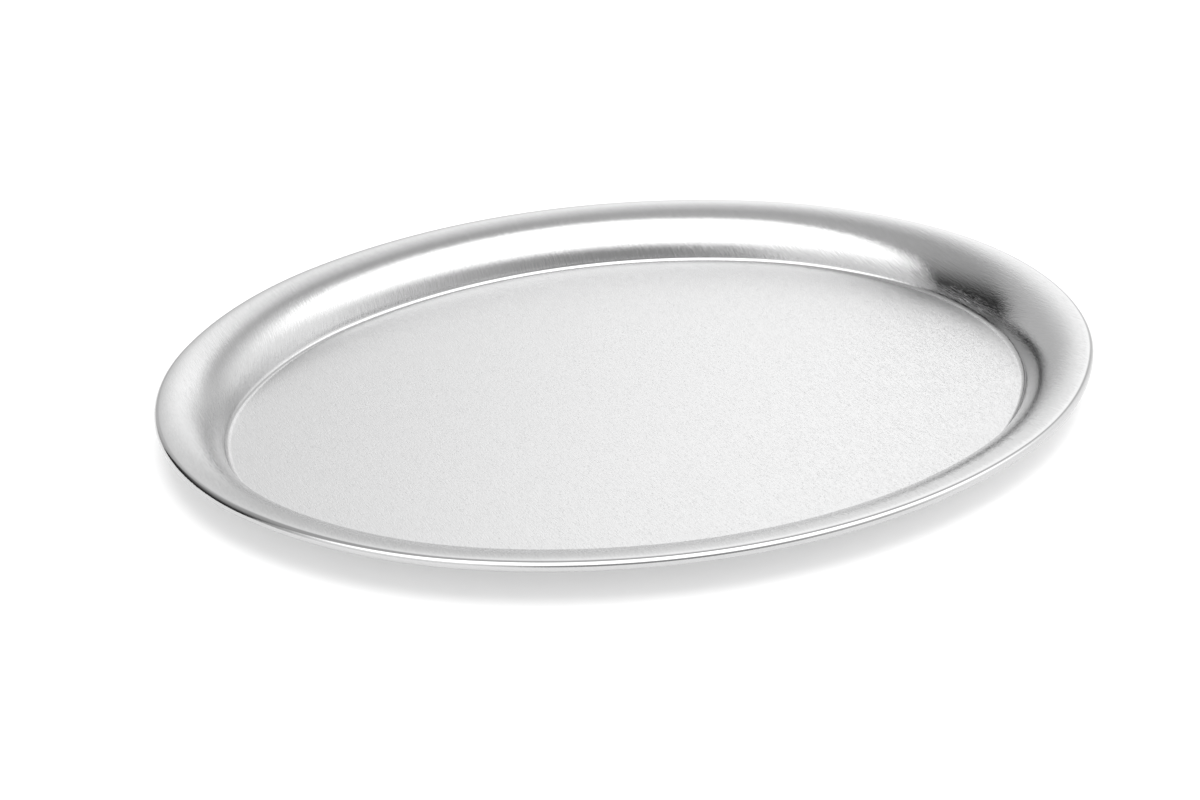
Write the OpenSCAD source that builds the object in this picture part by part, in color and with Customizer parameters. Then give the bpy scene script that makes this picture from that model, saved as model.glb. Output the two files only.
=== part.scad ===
// Oval serving tray, pressed from one steel sheet. The edge of the sheet is rolled
// outwards and under, round a hoop of steel wire.
// The underside of the well lies on z = 0 with its centre at the origin, X along the tray.
//
// Every outline of the tray is the same oval at another inset: eight arcs that meet on
// common normals, close to an ellipse. One cross-section is turned about each arc's centre.

/* [Tray] */
// Overall length, along X
tray_length = 290; // [265:1:320]
// Overall width, along Y
tray_width = 220; // [200:1:240]
// Overall height, from the table to the top of the rolled edge
tray_height = 16; // [15:0.5:17]
// Thickness of the steel sheet
sheet_t = 0.6; // [0.5:0.05:0.8]

/* [Flange] */
// Width of the wall, rim and rolled edge together, from the edge of the well outwards
flange_w = 20.6; // [20:0.1:22]
// Radius of the flare, on its upper face
flare_r = 18.8; // [18:0.1:21]
// Inside radius of the corner between the well and the wall
corner_r = 1.8; // [1:0.1:3]

/* [Rolled edge] */
// Diameter of the wire in the rolled edge
wire_d = 2; // [1.6:0.1:2.4]
// Gap between the wire and the sheet rolled round it
wire_gap = 0.03; // [0.02:0.01:0.08]
// How far the sheet is turned round the wire, in degrees
roll_turn = 285; // [240:1:290]

/* [Hidden] */
$fn = 96;

// Cross-sections have x = 0 at the edge of the well, x growing outwards, and y = 0 under the
// well. The roll is the bead at the outer edge. The flare is one arc, which meets the roll and
// the corner on common tangents, so its centre is a known distance from each of their centres.
border_w = 8;
roll_r = wire_d / 2 + wire_gap + sheet_t;
roll_c = [flange_w - roll_r, tray_height - roll_r];
corner_c = [0, sheet_t + corner_r];
flare_c = meeting_point(roll_c, flare_r - roll_r, corner_c, flare_r + corner_r);
rim_dir = (roll_c - flare_c) / norm(roll_c - flare_c);
rim_slope = atan2(-rim_dir.x, rim_dir.y);
over_rim = roll_c + 2 * roll_r * rim_dir;

// The outermost oval. Its arcs meet at these angles from the X axis, and the middle arcs'
// radius is chosen. The other two radii follow, because along X and along Y the arcs have to
// add up to half the tray.
half_l = tray_length / 2;
half_w = tray_width / 2;
end_angle = 34;
side_angle = 64;
mid_r = sqrt(half_l * half_w);
end_dir = [cos(end_angle), sin(end_angle)];
side_dir = [cos(side_angle), sin(side_angle)];
left_x = half_l - mid_r * (end_dir.x - side_dir.x);
left_y = half_w - mid_r * (side_dir.y - end_dir.y);
scale_xy = (1 - end_dir.x) * (1 - side_dir.y) - side_dir.x * end_dir.y;
end_r = (left_x * (1 - side_dir.y) - left_y * side_dir.x) / scale_xy;
side_r = (left_y * (1 - end_dir.x) - left_x * end_dir.y) / scale_xy;

// Centres of the arcs that lie in the first quadrant
end_c = [half_l - end_r, 0];
mid_c = end_c - (mid_r - end_r) * end_dir;
side_c = [0, half_w - side_r];

// The eight arcs in order round the oval: centre, radius, first angle and last angle
arcs = [
    [end_c, end_r, -end_angle, end_angle],
    [mid_c, mid_r, end_angle, side_angle],
    [side_c, side_r, side_angle, 180 - side_angle],
    [[-mid_c.x, mid_c.y], mid_r, 180 - side_angle, 180 - end_angle],
    [-end_c, end_r, 180 - end_angle, 180 + end_angle],
    [-mid_c, mid_r, 180 + end_angle, 180 + side_angle],
    [-side_c, side_r, 180 + side_angle, 360 - side_angle],
    [[mid_c.x, -mid_c.y], mid_r, 360 - side_angle, 360 - end_angle]
];

// The point at distance r1 from c1 and r2 from c2, on the right on the way from c1 to c2
function meeting_point(c1, r1, c2, r2) =
    let (
        d = norm(c2 - c1),
        ahead = (c2 - c1) / d,
        along = (r1 ^ 2 - r2 ^ 2 + d ^ 2) / (2 * d),
        aside = sqrt(r1 ^ 2 - along ^ 2)
    )
    c1 + along * ahead + aside * [-ahead.y, ahead.x];

// Moves in the plane in two steps, thousandths of a millimetre first. The remainder then
// keeps all its digits, and neighbouring arcs end on exactly the same line and plane.
module place(v) {
    coarse = [round(1000 * v.x), round(1000 * v.y)] / 1000;
    translate(coarse)
        translate(v - coarse)
            children();
}

// A ring of sheet in the cross-section, round one centre
module ring(centre, outer_r) {
    place(centre)
        difference() {
            circle(outer_r);
            circle(outer_r - sheet_t);
        }
}

// Cross-section of the pressed sheet from the border of the well to the end of the roll.
// Pieces that meet are cut along one shared line, through the centres of both arcs.
module sheet_section() {
    translate([-border_w, 0])
        square([border_w, sheet_t]);
    intersection() {
        ring(corner_c, corner_r + sheet_t);
        polygon([corner_c, [0, -border_w], [flare_c.x, -border_w], flare_c]);
    }
    intersection() {
        ring(flare_c, flare_r);
        polygon([corner_c, flare_c, roll_c, over_rim, [0, over_rim.y]]);
    }
    difference() {
        ring(roll_c, roll_r);
        polygon([
            roll_c,
            over_rim,
            roll_c + 3 * roll_r * [cos(rim_slope + 135), sin(rim_slope + 135)],
            roll_c + 3 * roll_r * [cos(rim_slope + 450 - roll_turn), sin(rim_slope + 450 - roll_turn)]
        ]);
    }
}

// Turns a cross-section about each arc's centre, to run it round the oval
module round_oval() {
    for (arc = arcs)
        place(arc[0])
            rotate_extrude(angle = arc[3] - arc[2], start = arc[2])
                place([arc[1] - flange_w, 0])
                    children();
}

// Flat middle of the well. Its outline runs halfway along the border, which covers it.
module well_floor() {
    inset = flange_w + border_w / 2;
    linear_extrude(sheet_t)
        polygon([
            for (arc = arcs, part = [0 : 0.125 : 0.875])
                let (angle = arc[2] + part * (arc[3] - arc[2]))
                arc[0] + (arc[1] - inset) * [cos(angle), sin(angle)]
        ]);
}

// The pressed sheet: well, wall, rim and rolled edge in one piece
module tray_pan() {
    color([0.80, 0.80, 0.81]) {
        well_floor();
        round_oval() sheet_section();
    }
}

// Closed hoop of round wire inside the rolled edge
module rim_wire() {
    color([0.62, 0.62, 0.64])
        round_oval()
            place(roll_c)
                circle(wire_d / 2);
}

tray_pan();
rim_wire();
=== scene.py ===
import math

import bpy
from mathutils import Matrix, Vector


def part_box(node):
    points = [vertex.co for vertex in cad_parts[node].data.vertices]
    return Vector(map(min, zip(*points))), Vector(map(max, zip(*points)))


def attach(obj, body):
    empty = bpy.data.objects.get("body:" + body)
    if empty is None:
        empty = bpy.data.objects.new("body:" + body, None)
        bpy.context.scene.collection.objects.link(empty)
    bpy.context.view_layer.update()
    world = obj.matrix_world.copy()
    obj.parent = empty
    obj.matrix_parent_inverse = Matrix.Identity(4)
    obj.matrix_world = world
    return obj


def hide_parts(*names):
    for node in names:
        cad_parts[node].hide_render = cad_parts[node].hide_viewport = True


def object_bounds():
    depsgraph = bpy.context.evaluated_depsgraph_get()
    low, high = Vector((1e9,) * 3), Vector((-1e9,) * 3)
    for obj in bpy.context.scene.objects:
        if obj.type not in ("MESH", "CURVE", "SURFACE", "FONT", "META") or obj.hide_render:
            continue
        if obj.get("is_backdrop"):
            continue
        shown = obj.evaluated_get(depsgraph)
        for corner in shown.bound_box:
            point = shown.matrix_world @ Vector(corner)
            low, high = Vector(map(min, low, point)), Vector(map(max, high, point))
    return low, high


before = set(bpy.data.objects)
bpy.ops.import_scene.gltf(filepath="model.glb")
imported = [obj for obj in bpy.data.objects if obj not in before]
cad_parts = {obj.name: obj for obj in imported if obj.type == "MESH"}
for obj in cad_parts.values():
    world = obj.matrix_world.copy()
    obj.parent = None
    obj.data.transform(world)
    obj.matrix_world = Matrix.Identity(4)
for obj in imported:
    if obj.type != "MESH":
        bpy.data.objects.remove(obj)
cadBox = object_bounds()
print("frame loaded:", ", ".join(sorted(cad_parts)))


# One value inside a node tree. Sums and products of values add Math nodes to the tree.
class Value:
    def __init__(self, tree, socket):
        self.tree = tree
        self.socket = socket

    def math(self, operation, *others):
        return addNode(self.tree, "ShaderNodeMath", {"operation": operation}, (self, *others))

    def vectorMath(self, operation, *others):
        return addNode(self.tree, "ShaderNodeVectorMath", {"operation": operation}, (self, *others))

    def __add__(self, other):
        return self.math("ADD", other)

    def __sub__(self, other):
        return self.math("SUBTRACT", other)

    def __mul__(self, other):
        return self.math("MULTIPLY", other)

    def __truediv__(self, other):
        return self.math("DIVIDE", other)

    def __rsub__(self, other):
        return self.math("MULTIPLY", -1).math("ADD", other)

    def __rtruediv__(self, other):
        return self.math("POWER", -1).math("MULTIPLY", other)

    __radd__ = __add__
    __rmul__ = __mul__


# Adds any node: its settings first, then numbers or links for its sockets, by name or in order
def addNode(tree, kind, settings=None, sockets=None, output=0):
    made = tree.nodes.new(kind)
    for name, setting in (settings or {}).items():
        setattr(made, name, setting)
    pairs = sockets.items() if isinstance(sockets, dict) else enumerate(sockets or ())
    for key, given in pairs:
        if isinstance(given, Value):
            tree.links.new(given.socket, made.inputs[key])
        else:
            made.inputs[key].default_value = given
    return Value(tree, made.outputs[output]) if made.outputs else made


# 0 below low, 1 above high, with a smooth rise between them
def smoothStep(value, low, high):
    ends = {"Value": value, "From Min": low, "From Max": high}
    return addNode(value.tree, "ShaderNodeMapRange", {"interpolation_type": "SMOOTHSTEP"}, ends)


# One oval of eight arcs, and the sheet's cross-section that runs round it. Metres and degrees.
panLow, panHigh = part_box("tray_pan")
tray = {
    "length": round(panHigh.x - panLow.x, 4),
    "width": round(panHigh.y - panLow.y, 4),
    "height": round(panHigh.z - panLow.z, 4),
    "sheet": 0.0006,
    "flangeWidth": 0.0206,
    "flareRadius": 0.0188,
    "cornerRadius": 0.0018,
    "rollTurn": 285,
    "edgeRound": 0.00012,
    "wallRub": 0.76,
    "rubFade": 0.0012,
    "underDull": 0.55,
    "underFade": 0.0006,
    "endAngle": 34,
    "sideAngle": 64,
    "stepsRound": 360,
    "floorRows": (0.060, 0.030, 0.012, 0.004, 0.0012, 0.0003),
    "cornerUnderSteps": 12,
    "cornerTopSteps": 16,
    "flareUnderSteps": 30,
    "flareTopSteps": 44,
    "rollInnerSteps": 32,
    "rollOuterSteps": 52,
    "cutEdgeSteps": 3,
}
wire = {"diameter": 0.002, "gap": 0.00003, "stepsAround": 28}
weldDistance = 1e-6
samePoint = 1e-7


# The tree that sweeps a section round the oval. Its section is a string of points: x from the
# well's edge outwards and z up, each with its place on the flat blank and its reach from the
# middle of the tray, 0 or 1.
def ovalSweepTree():
    tree = bpy.data.node_groups.new("ovalSweep", "GeometryNodeTree")
    inputs = {
        "Section": "Geometry",
        "Length": "Float",
        "Width": "Float",
        "Flange Width": "Float",
        "End Angle": "Float",
        "Side Angle": "Float",
        "Steps Round": "Int",
        "Material": "Material",
    }
    for name, kind in inputs.items():
        tree.interface.new_socket(name, in_out="INPUT", socket_type="NodeSocket" + kind)
    tree.interface.new_socket("Mesh", in_out="OUTPUT", socket_type="NodeSocketGeometry")
    start = tree.nodes.new("NodeGroupInput")
    given = {s.name: Value(tree, s) for s in start.outputs if s.name}

    def node(kind, settings=None, sockets=None, output=0):
        return addNode(tree, kind, settings, sockets, output)

    # Radii of the arcs: the middle one is chosen, the other two add up to the tray's size
    halfLength = given["Length"] * 0.5
    halfWidth = given["Width"] * 0.5
    endAcross = given["End Angle"].math("COSINE")
    endUp = given["End Angle"].math("SINE")
    sideAcross = given["Side Angle"].math("COSINE")
    sideUp = given["Side Angle"].math("SINE")
    midRadius = (halfLength * halfWidth).math("SQRT")
    leftLong = halfLength - midRadius * (endAcross - sideAcross)
    leftWide = halfWidth - midRadius * (sideUp - endUp)
    share = (1 - endAcross) * (1 - sideUp) - sideAcross * endUp
    endRadius = (leftLong * (1 - sideUp) - leftWide * sideAcross) / share
    sideRadius = (leftWide * (1 - endAcross) - leftLong * endUp) / share
    endX = halfLength - endRadius
    midX = endX - (midRadius - endRadius) * endAcross
    midY = (midRadius - endRadius) * endUp * -1
    sideY = halfWidth - sideRadius

    # A sheet of vertices: one row for each point of the section, one column for each step round
    section = {"Geometry": given["Section"]}
    rows = node("GeometryNodeAttributeDomainSize", None, section, "Point Count")
    steps = given["Steps Round"]
    grid = node("GeometryNodeMeshGrid", None, {"Vertices X": steps + 1, "Vertices Y": rows})
    index = node("GeometryNodeInputIndex")
    column = (index / rows).math("FLOOR")
    row = index - column * rows

    def sectionValue(name, kind):
        stored = node("GeometryNodeInputNamedAttribute", {"data_type": kind}, {"Name": name})
        settings = {"data_type": kind, "domain": "POINT"}
        sockets = {"Geometry": given["Section"], "Value": stored, "Index": row}
        return node("GeometryNodeSampleIndex", settings, sockets)

    position = sectionValue("position", "FLOAT_VECTOR")
    outward = node("ShaderNodeSeparateXYZ", None, (position,), "X")
    height = node("ShaderNodeSeparateXYZ", None, (position,), "Z")
    blankOutward = sectionValue("blankOutward", "FLOAT")
    reach = sectionValue("reach", "FLOAT")

    angle = column * (2 * math.pi) / steps
    cosine = angle.math("COSINE")
    sine = angle.math("SINE")
    folded = sine.math("ABSOLUTE").math("ARCTAN2", cosine.math("ABSOLUTE"))
    isEnd = folded.math("LESS_THAN", given["End Angle"])
    isSide = folded.math("GREATER_THAN", given["Side Angle"])
    isMid = 1 - isEnd - isSide
    radius = isEnd * endRadius + isMid * midRadius + isSide * sideRadius
    centreX = isEnd * endX + isMid * midX
    centreY = isMid * midY + isSide * sideY

    def placeOnOval(distance):
        span = radius - given["Flange Width"] + distance
        x = cosine.math("SIGN") * (centreX + span * cosine.math("ABSOLUTE")) * reach
        y = sine.math("SIGN") * (centreY + span * sine.math("ABSOLUTE")) * reach
        return x, y

    x, y = placeOnOval(outward)
    place = node("ShaderNodeCombineXYZ", None, (x, y, height))
    mesh = node("GeometryNodeSetPosition", None, {"Geometry": grid, "Position": place})

    # Where each point lay on the flat blank, with its face of the sheet in z
    x, y = placeOnOval(blankOutward)
    blank = node("ShaderNodeCombineXYZ", None, (x, y, sectionValue("sheetFace", "FLOAT")))
    polish = sectionValue("polish", "FLOAT")
    stores = {"blank": (blank, "FLOAT_VECTOR"), "polish": (polish, "FLOAT")}
    for name, (value, kind) in stores.items():
        settings = {"data_type": kind, "domain": "POINT"}
        sockets = {"Geometry": mesh, "Name": name, "Value": value}
        mesh = node("GeometryNodeStoreNamedAttribute", settings, sockets)

    # The grid's first and last columns are one line, and the points at the middle are one point
    mesh = node("GeometryNodeMergeByDistance", None, {"Geometry": mesh, "Distance": weldDistance})
    mesh = node("GeometryNodeSetShadeSmooth", None, {"Geometry": mesh, "Shade Smooth": True})
    mesh = node("GeometryNodeRealizeInstances", None, {"Geometry": mesh})
    mesh = node("GeometryNodeSetMaterial", None, {"Geometry": mesh, "Material": given["Material"]})
    node("NodeGroupOutput", None, (mesh,))
    return tree


# Points on an arc of the section, from one angle to another, both ends included
def arcPoints(centre, radius, first, last, count):
    angles = [math.radians(first + (last - first) * i / count) for i in range(count + 1)]
    return [centre + radius * Vector((math.cos(a), math.sin(a))) for a in angles]


# Where two circles of these radii meet, on the right on the way from one centre to the other
def meetingPoint(centreA, radiusA, centreB, radiusB):
    gap = (centreB - centreA).length
    ahead = (centreB - centreA) / gap
    along = (radiusA**2 - radiusB**2 + gap**2) / (2 * gap)
    aside = math.sqrt(radiusA**2 - along**2)
    return centreA + along * ahead + aside * Vector((-ahead.y, ahead.x))


# The section as an object: a string of vertices with the named values that the tree samples
def sectionObject(name, points, values):
    mesh = bpy.data.meshes.new(name)
    edges = [(i, i + 1) for i in range(len(points) - 1)]
    mesh.from_pydata([(p.x, 0, p.y) for p in points], edges, [])
    for label, numbers in values.items():
        mesh.attributes.new(label, "FLOAT", "POINT").data.foreach_set("value", numbers)
    section = bpy.data.objects.new(name, mesh)
    bpy.context.scene.collection.objects.link(section)
    return section


# Runs the section round the oval and gives back one plain mesh
def sweepRoundOval(name, section, sweepTree, skin):
    modifier = section.modifiers.new("sweep", "NODES")
    modifier.node_group = sweepTree
    sizes = {
        "Length": tray["length"],
        "Width": tray["width"],
        "Flange Width": tray["flangeWidth"],
        "End Angle": math.radians(tray["endAngle"]),
        "Side Angle": math.radians(tray["sideAngle"]),
        "Steps Round": tray["stepsRound"],
        "Material": skin,
    }
    for socket in sweepTree.interface.items_tree:
        if socket.in_out == "INPUT" and socket.name in sizes:
            modifier[socket.identifier] = sizes[socket.name]
    evaluated = section.evaluated_get(bpy.context.evaluated_depsgraph_get())
    mesh = bpy.data.meshes.new_from_object(evaluated)
    section.modifiers.clear()
    bpy.data.objects.remove(section)
    mesh.name = name
    piece = bpy.data.objects.new(name, mesh)
    bpy.context.scene.collection.objects.link(piece)
    print(name, "made:", len(mesh.vertices), "vertices,", len(mesh.polygons), "faces")
    return piece


rollRadius = wire["diameter"] / 2 + wire["gap"] + tray["sheet"]
rollCentre = Vector((tray["flangeWidth"] - rollRadius, tray["height"] - rollRadius))


# Joins runs of points end to end, without the points that they share
def joinRuns(*runs):
    joined = []
    for run in runs:
        joined += [p for p in run if not joined or (p - joined[-1]).length > samePoint]
    return joined


# How far each point is along the run, measured from the edge of the well at x = 0
def distancesAlong(points):
    distances = [0.0]
    for before, after in zip(points, points[1:]):
        distances.append(distances[-1] + (after - before).length)
    edge = min(range(len(points)), key=lambda i: abs(points[i].x))
    return [d - distances[edge] for d in distances]


# The pressed sheet in section, from the middle of its underside, round the roll, to the
# middle of the well
def panSection():
    sheet = tray["sheet"]
    cornerCentre = Vector((0, sheet + tray["cornerRadius"]))
    flareCentre = meetingPoint(
        rollCentre,
        tray["flareRadius"] - rollRadius,
        cornerCentre,
        tray["flareRadius"] + tray["cornerRadius"],
    )
    toFlare = flareCentre - cornerCentre
    cornerTop = math.degrees(math.atan2(toFlare.y, toFlare.x))
    toRoll = rollCentre - flareCentre
    rimTop = math.degrees(math.atan2(toRoll.y, toRoll.x))
    rollEnd = rimTop - tray["rollTurn"]

    # Each run of the section as an arc: centre, radius, first and last angle, steps
    def run(centre, radius, first, last, steps):
        return arcPoints(centre, radius, first, last, tray[steps])

    cornerR, flareR = tray["cornerRadius"], tray["flareRadius"]
    floorUnder = [Vector((-x, 0)) for x in tray["floorRows"]]
    cornerUnder = run(cornerCentre, cornerR + sheet, -90, cornerTop, "cornerUnderSteps")
    flareUnder = run(flareCentre, flareR - sheet, cornerTop + 180, rimTop, "flareUnderSteps")
    flareTop = run(flareCentre, flareR, rimTop, cornerTop + 180, "flareTopSteps")
    cornerUpper = run(cornerCentre, cornerR, cornerTop, -90, "cornerTopSteps")
    floorTop = [Vector((-x, sheet)) for x in reversed(tray["floorRows"])]

    # The sheet's cut edge has small rounds, so both faces of the roll end a little before it
    edge = tray["edgeRound"]
    innerRadius = rollRadius - sheet
    innerEnd = rollEnd + math.degrees(edge / (innerRadius + edge))
    outerEnd = rollEnd + math.degrees(edge / (rollRadius - edge))
    rollInner = run(rollCentre, innerRadius, rimTop, innerEnd, "rollInnerSteps")
    rollOuter = run(rollCentre, rollRadius, outerEnd, rimTop, "rollOuterSteps")
    innerCorner = arcPoints(rollCentre, innerRadius + edge, innerEnd, innerEnd, 1)[0]
    outerCorner = arcPoints(rollCentre, rollRadius - edge, outerEnd, outerEnd, 1)[0]
    cutEdge = joinRuns(
        run(innerCorner, edge, innerEnd - 180, innerEnd - 90, "cutEdgeSteps"),
        run(outerCorner, edge, outerEnd - 90, outerEnd, "cutEdgeSteps"),
    )

    under = joinRuns(floorUnder, cornerUnder, flareUnder, rollInner, cutEdge)
    upper = joinRuns(rollOuter, flareTop, cornerUpper, floorTop)[1:]
    underFrom = distancesAlong(under)
    upperFrom = [-d for d in distancesAlong(upper)]

    # The press rubs the wall and rim smoother than the floor, and the roll smoothest of all
    # down to its outermost line. Under that line it is duller.
    # These values also set where the steel's colour is darkened, which is painted shade on the
    # wall, rim and roll
    rollFrom = upperFrom[len(rollOuter) - 2]
    rollSide = rollFrom + rollRadius * math.radians(rimTop)

    def risen(distance, fade):
        return min(max(distance / fade, 0), 1)

    def rubbed(distance):
        onWall = risen(distance, tray["rubFade"])
        onRoll = risen(distance - rollFrom + tray["rubFade"], tray["rubFade"])
        underRoll = risen(distance - rollSide, tray["underFade"])
        shine = tray["wallRub"] * onWall + (1 - tray["wallRub"]) * onRoll
        return shine - tray["underDull"] * underRoll

    points = [Vector((0, 0)), *under, *upper, Vector((0, sheet))]
    values = {
        "blankOutward": [0, *underFrom, *upperFrom, 0],
        "sheetFace": [0] * (len(under) + 1) + [1] * (len(upper) + 1),
        "polish": [0] * (len(under) + 1) + [rubbed(d) for d in upperFrom] + [0],
        "reach": [0] + [1] * (len(points) - 2) + [0],
    }
    return points, values


def wireSection():
    points = arcPoints(rollCentre, wire["diameter"] / 2, 0, 360, wire["stepsAround"])
    count = len(points)
    distances = [math.pi * wire["diameter"] * i / (count - 1) for i in range(count)]
    values = {
        "blankOutward": distances,
        "sheetFace": [0] * count,
        "polish": [0] * count,
        "reach": [1] * count,
    }
    return points, values


def newSkin(name):
    skin = bpy.data.materials.new(name)
    skin.use_nodes = True
    skin.node_tree.nodes.clear()
    return skin, skin.node_tree


# Noise drawn out into lines: its grain is this fine in X, Y and Z of the given coordinates
def drawnNoise(coordinates, grain, detail=2.0, coarseness=0.6):
    scaled = coordinates.vectorMath("MULTIPLY", grain)
    sockets = {"Vector": scaled, "Scale": 1.0, "Detail": detail, "Roughness": coarseness}
    return addNode(coordinates.tree, "ShaderNodeTexNoise", {"noise_dimensions": "3D"}, sockets)


def finishSkin(tree, colour, roughness, normal):
    sockets = {"Base Color": colour, "Metallic": 1.0, "Roughness": roughness, "Normal": normal}
    shader = addNode(tree, "ShaderNodeBsdfPrincipled", None, sockets)
    addNode(tree, "ShaderNodeOutputMaterial", None, {"Surface": shader})


# A Mix node takes its two colours at sockets 6 and 7, and gives the mixed one at output 2
def mixColours(factor, first, second):
    settings = {"data_type": "RGBA"}
    return addNode(factor.tree, "ShaderNodeMix", settings, {0: factor, 6: first, 7: second}, 2)


# Satin steel. The sheet was brushed while it was flat, nearly across its width, so the
# brushing follows each point's place on the flat blank. Angles are in degrees. A grain is how
# fine a pattern is per metre of the blank in X and in Y, and how far the two faces' patterns
# are apart.
satin = {
    "dark": (0.635, 0.635, 0.637, 1),
    "light": (0.682, 0.682, 0.684, 1),
    # The rubbed colours are darker copies of the satin colours: painted shade that dims the wall,
    # rim and roll
    "rubbedShadedDark": (0.528, 0.528, 0.53, 1),
    "rubbedShadedLight": (0.566, 0.566, 0.568, 1),
    "brushedAt": 10,
    "crossTurns": (19, -19),
    "broadTurn": 3,
    "markTurns": (26.6, -11.4),
    "fineLines": (7000, 330, 3),
    "crossLines": (2400, 430, 5),
    "broadLines": (1900, 170, 7),
    "marks": (2500, 800, 9),
    "clouds": (190, 120, 2),
    "fineDepth": 0.00004,
    "crossDepth": 0.000012,
    "broadDepth": 0.000024,
    "markDepth": 0.00002,
    "markRange": (0.64, 0.74),
    "floorShare": 0.5,
    "rollSmooths": 0.85,
    "rollSharpness": 6.0,
    "crossTone": 0.2,
    "broadTone": 0.3,
    "cloudTone": 0.3,
    "markTone": 0.3,
    "toneRange": (0.25, 0.85),
    "roughness": 0.32,
    "polishedRoughness": 0.08,
    "roughnessSway": 0.08,
    "fullyShadedAt": 0.4,
}


def satinSkin():
    skin, tree = newSkin("satin_steel")
    blank = addNode(tree, "ShaderNodeAttribute", {"attribute_name": "blank"}, None, "Vector")
    polish = addNode(tree, "ShaderNodeAttribute", {"attribute_name": "polish"}, None, "Fac")

    # Lines of this grain, brushed this many degrees away from the main direction
    def brushed(grain, turn):
        sockets = {"Vector": blank, "Angle": math.radians(-satin["brushedAt"] - turn)}
        settings = {"rotation_type": "Z_AXIS"}
        turned = addNode(tree, "ShaderNodeVectorRotate", settings, sockets)
        return drawnNoise(turned, satin[grain], 0)

    fine = brushed("fineLines", 0)
    crossed = sum(brushed("crossLines", turn) for turn in satin["crossTurns"])
    broad = brushed("broadLines", satin["broadTurn"])
    clouds = drawnNoise(blank, satin["clouds"])

    # Scattered scratches, which the rubbing has taken off the roll and mostly off the wall
    scratches = [brushed("marks", turn) for turn in satin["markTurns"]]
    marks = sum(smoothStep(one, *satin["markRange"]) for one in scratches) * (1 - polish)

    # The lines are deeper on the wall, where the sheet was stretched, and faint on the roll
    lines = crossed * satin["crossDepth"] + broad * satin["broadDepth"]
    lines = lines * (satin["floorShare"] + polish)
    lines = lines + fine * satin["fineDepth"] - marks * satin["markDepth"]
    onRoll = polish.math("POWER", satin["rollSharpness"])
    height = lines * (1 - onRoll * satin["rollSmooths"])
    normal = addNode(tree, "ShaderNodeBump", None, {"Distance": 1.0, "Height": height})

    streaks = crossed * satin["crossTone"] + broad * satin["broadTone"]
    streaks = streaks + clouds * satin["cloudTone"]
    smoothing = satin["roughness"] - satin["polishedRoughness"]
    roughness = satin["roughness"] - polish * smoothing + (streaks - 0.5) * satin["roughnessSway"]

    tone = smoothStep(streaks + marks * satin["markTone"], *satin["toneRange"])
    brushedColour = mixColours(tone, satin["dark"], satin["light"])
    # Painted shade: where the press rubbed the steel smoother, its colour is also swapped for
    # darker copies
    rubbedShadedColour = mixColours(tone, satin["rubbedShadedDark"], satin["rubbedShadedLight"])
    rubbedShade = smoothStep(polish, 0, satin["fullyShadedAt"])
    finishSkin(tree, mixColours(rubbedShade, brushedColour, rubbedShadedColour), roughness, normal)
    return skin


# Drawn wire: fine lines that run along it, and a duller, darker steel
drawn = {
    "dark": (0.40, 0.40, 0.41, 1),
    "light": (0.50, 0.50, 0.51, 1),
    "lines": (60, 60, 9000),
    "clouds": (160, 160, 400),
    "lineDepth": 0.000004,
    "lineTone": 0.5,
    "cloudTone": 0.5,
    "roughness": 0.28,
    "roughnessSway": 0.15,
}


def drawnSkin():
    skin, tree = newSkin("wire_steel")
    place = addNode(tree, "ShaderNodeTexCoord", None, None, "Object")
    lines = drawnNoise(place, drawn["lines"])
    clouds = drawnNoise(place, drawn["clouds"])
    height = lines * drawn["lineDepth"]
    normal = addNode(tree, "ShaderNodeBump", None, {"Distance": 1.0, "Height": height})
    roughness = drawn["roughness"] + (clouds - 0.5) * drawn["roughnessSway"]
    tone = lines * drawn["lineTone"] + clouds * drawn["cloudTone"]
    finishSkin(tree, mixColours(tone, drawn["dark"], drawn["light"]), roughness, normal)
    return skin


sweep = ovalSweepTree()

panRun = sectionObject("panSection", *panSection())
pan = sweepRoundOval("pressed_pan", panRun, sweep, satinSkin())
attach(pan, "root")
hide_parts("tray_pan")

wireRun = sectionObject("wireSection", *wireSection())
hoop = sweepRoundOval("wire_hoop", wireRun, sweep, drawnSkin())
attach(hoop, "root")
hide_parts("rim_wire")

# The camera looks down at the tray from the front, a little from the left
camera = {
    "place": (-0.1842, -0.4687, 0.2848),
    "down": 29.65,
    "heading": 20.15,
    "lens": 56.25,
    "nearest": 0.01,
}

# A table that shines a little by itself, so that shadows on it stay pale
table = {
    "size": 12.0,
    "colour": (0.44, 0.44, 0.44, 1),
    "roughness": 0.6,
    "glowColour": (1, 1, 1, 1),
    "glow": 0.41,
}

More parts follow.
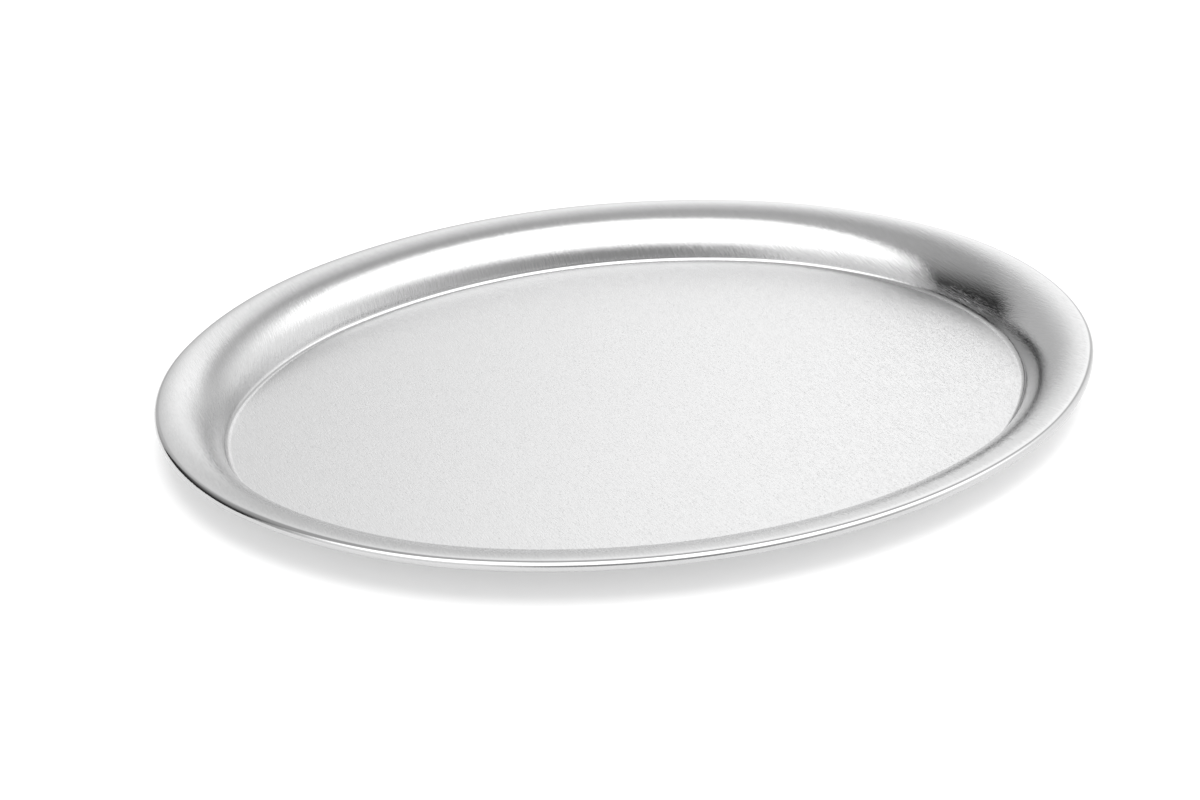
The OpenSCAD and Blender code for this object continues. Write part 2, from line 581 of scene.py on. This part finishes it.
bpy.ops.mesh.primitive_plane_add(size=table["size"], location=(0, 0, panLow.z))
floor = bpy.context.object
floor.name = "table"
tableSkin, tableTree = newSkin("table_top")
sockets = {
    "Base Color": table["colour"],
    "Roughness": table["roughness"],
    "Emission Color": table["glowColour"],
    "Emission Strength": table["glow"],
}
paint = addNode(tableTree, "ShaderNodeBsdfPrincipled", None, sockets)
addNode(tableTree, "ShaderNodeOutputMaterial", None, {"Surface": paint})
floor.data.materials.append(tableSkin)
floor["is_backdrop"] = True

# Soft panels round the tray, each painted over the ones before it. Degrees: the azimuth is
# measured clockwise from the way the camera looks.
room = 0.76
panels = {
    # azimuth, half width, lowest, highest, softness across and up, brightness
    "backWall": (2, 22, -40, 64, 33, 12, 1.37),
    "backGlow": (9, 16, -40, 42, 16, 14, 1.68),
    "backLeft": (-16, 18.5, -30, 27, 20, 40, 0.73),
    "backRight": (39, 30, -30, 19.5, 20, 10, 0.92),
    "rightCard": (77.5, 30, -40, 71, 22, 4, 1.34),
    "leftWall": (-98, 51, -40, 53, 9, 15, 0.57),
    "leftFlag": (-82.5, 25, -35, 35, 4, 42, 0.03),
    "behindCamera": (179.5, 45, -40, 33, 41, 4, 0.42),
    "frontLeftCard": (-147, 27, -10, 33, 17, 4, 1.15),
    "softbox": (155.5, 89, 33, 86, 24, 22, 2.6),
    "ceiling": (-20, 83, 56, 65, 4, 42, 0.35),
}


def studioWorld():
    world = bpy.data.worlds.new("studio")
    bpy.context.scene.world = world
    world.use_nodes = True
    tree = world.node_tree
    tree.nodes.clear()
    direction = addNode(tree, "ShaderNodeTexCoord", None, None, "Generated")
    sockets = {"Vector": direction, "Angle": math.radians(camera["heading"])}
    settings = {"rotation_type": "Z_AXIS"}
    direction = addNode(tree, "ShaderNodeVectorRotate", settings, sockets)
    x, y, z = (addNode(tree, "ShaderNodeSeparateXYZ", None, (direction,), axis) for axis in "XYZ")
    azimuth = x.math("ARCTAN2", y) * math.degrees(1)
    elevation = z.math("ARCSINE") * math.degrees(1)
    light = room
    for middle, halfWidth, lowest, highest, softAcross, softUp, brightness in panels.values():
        aside = (azimuth - middle).math("WRAP", 180.0, -180.0).math("ABSOLUTE")
        across = 1 - smoothStep(aside, halfWidth - softAcross / 2, halfWidth + softAcross / 2)
        above = smoothStep(elevation, lowest - softUp / 2, lowest + softUp / 2)
        below = 1 - smoothStep(elevation, highest - softUp / 2, highest + softUp / 2)
        mask = across * above * below
        light = light + mask * (brightness - light)
    background = addNode(tree, "ShaderNodeBackground", None, {"Color": light, "Strength": 1.0})
    addNode(tree, "ShaderNodeOutputWorld", None, {"Surface": background})


studioWorld()

# A lamp over the table whitens it round the tray. It isn't seen in the steel.
lamp = {"place": (-0.22, -0.8, 2.0), "size": 0.8, "power": 30}

light = bpy.data.objects.new("tableLamp", bpy.data.lights.new("tableLamp", "AREA"))
light.data.size = lamp["size"]
light.data.energy = lamp["power"]
light.location = lamp["place"]
light.rotation_euler = (-Vector(lamp["place"])).to_track_quat("-Z", "Y").to_euler()
light.visible_glossy = False
bpy.context.scene.collection.objects.link(light)

bpy.context.scene.view_settings.view_transform = "Standard"

eye = bpy.data.objects.new("camera", bpy.data.cameras.new("camera"))
eye.location = camera["place"]
eye.rotation_euler = (math.radians(90 - camera["down"]), 0, math.radians(-camera["heading"]))
eye.data.lens = camera["lens"]
eye.data.clip_start = camera["nearest"]
bpy.context.scene.collection.objects.link(eye)
bpy.context.scene.camera = eye
print("studio made:", len(panels), "panels")

boxes = {"cad": cadBox, "visual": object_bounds()}
boxes = {name: [list(corner) for corner in box] for name, box in boxes.items()}
